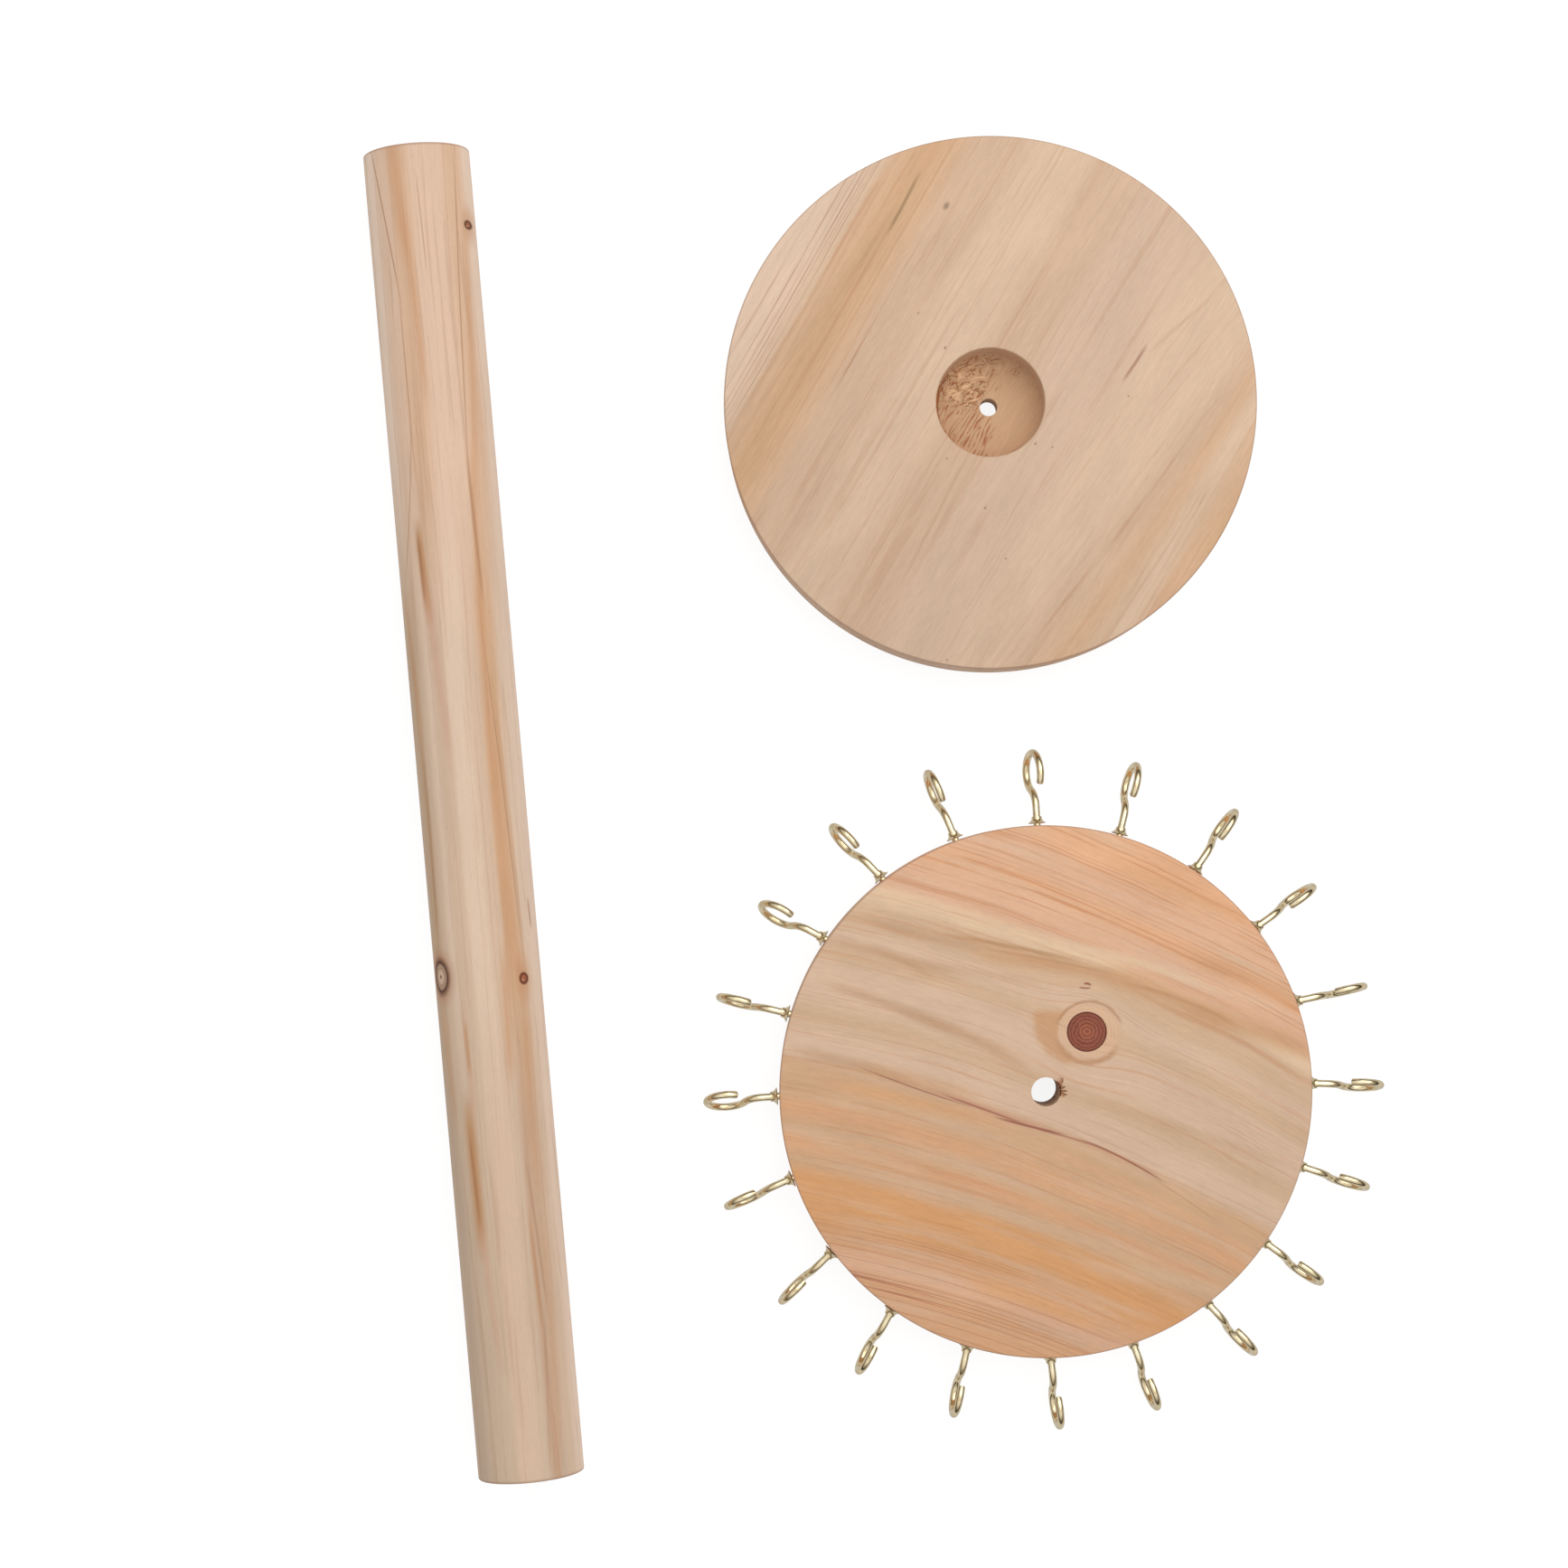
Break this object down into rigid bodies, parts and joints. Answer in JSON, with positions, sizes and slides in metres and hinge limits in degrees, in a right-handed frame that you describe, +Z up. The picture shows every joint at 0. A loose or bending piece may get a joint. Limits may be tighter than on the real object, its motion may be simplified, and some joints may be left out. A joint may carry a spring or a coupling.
{
  "type": "necklace stand",
  "caption": "Necklace stand taken apart and laid out: round base with a socket for the pole, round pole with a spindle, and a round top disc with cup hooks all round its rim.",
  "frame": {"origin": "middle of the floor area that the laid out pieces cover", "axes": "+Z up from the floor, +Y along the length of the layout, from the hook disc towards the base, +X from the pole towards the discs"},
  "size_m": [0.289, 0.3781, 0.0298],
  "materials": {
    "base_wood": "bare sanded pine",
    "pole_wood": "bare sanded pine",
    "hook_disc_wood": "bare sanded pine with a knot",
    "brass_plate": "bright brass plate",
    "steel": "bright steel"
  },
  "bodies": {
    "base": {"base_disc": "base_wood"},
    "pole": {"pole": "pole_wood"},
    "spindle": {"spindle": "steel"},
    "washer": {"washer": "steel"},
    "hook_disc": {"hook_disc": "hook_disc_wood", "hook_01": "brass_plate", "hook_02": "brass_plate", "hook_03": "brass_plate", "hook_04": "brass_plate", "hook_05": "brass_plate", "hook_06": "brass_plate", "hook_07": "brass_plate", "hook_08": "brass_plate", "hook_09": "brass_plate", "hook_10": "brass_plate", "hook_11": "brass_plate", "hook_12": "brass_plate", "hook_13": "brass_plate", "hook_14": "brass_plate", "hook_15": "brass_plate", "hook_16": "brass_plate", "hook_17": "brass_plate", "hook_18": "brass_plate", "hook_19": "brass_plate", "hook_20": "brass_plate", "collar_01": "brass_plate", "collar_02": "brass_plate", "collar_03": "brass_plate", "collar_04": "brass_plate", "collar_05": "brass_plate", "collar_06": "brass_plate", "collar_07": "brass_plate", "collar_08": "brass_plate", "collar_09": "brass_plate", "collar_10": "brass_plate", "collar_11": "brass_plate", "collar_12": "brass_plate", "collar_13": "brass_plate", "collar_14": "brass_plate", "collar_15": "brass_plate", "collar_16": "brass_plate", "collar_17": "brass_plate", "collar_18": "brass_plate", "collar_19": "brass_plate", "collar_20": "brass_plate"}
  },
  "joints": [
    {"name": "pole_stand_up", "type": "hinge", "parent": "base", "child": "pole", "pos_m": [-0.07896, 0.08498, 0.12186], "axis": [0.3123, 0.6865, -0.6567], "range_deg": [0, 220.71]},
    {"name": "spindle_rise", "type": "slide", "parent": "pole", "child": "spindle", "axis": [0.0872, -0.9962, 0], "range_m": [0, 0.0185]},
    {"name": "hook_disc_lift", "type": "slide", "parent": "base", "child": "washer", "axis": [-0.0356, 0.4429, 0.8958], "range_m": [0, 0.43791]},
    {"name": "hook_disc_spin", "type": "hinge", "parent": "washer", "child": "hook_disc", "pos_m": [0.04778, -0.07989, 0.009], "axis": [0, 0, 1], "continuous": true}
  ]
}
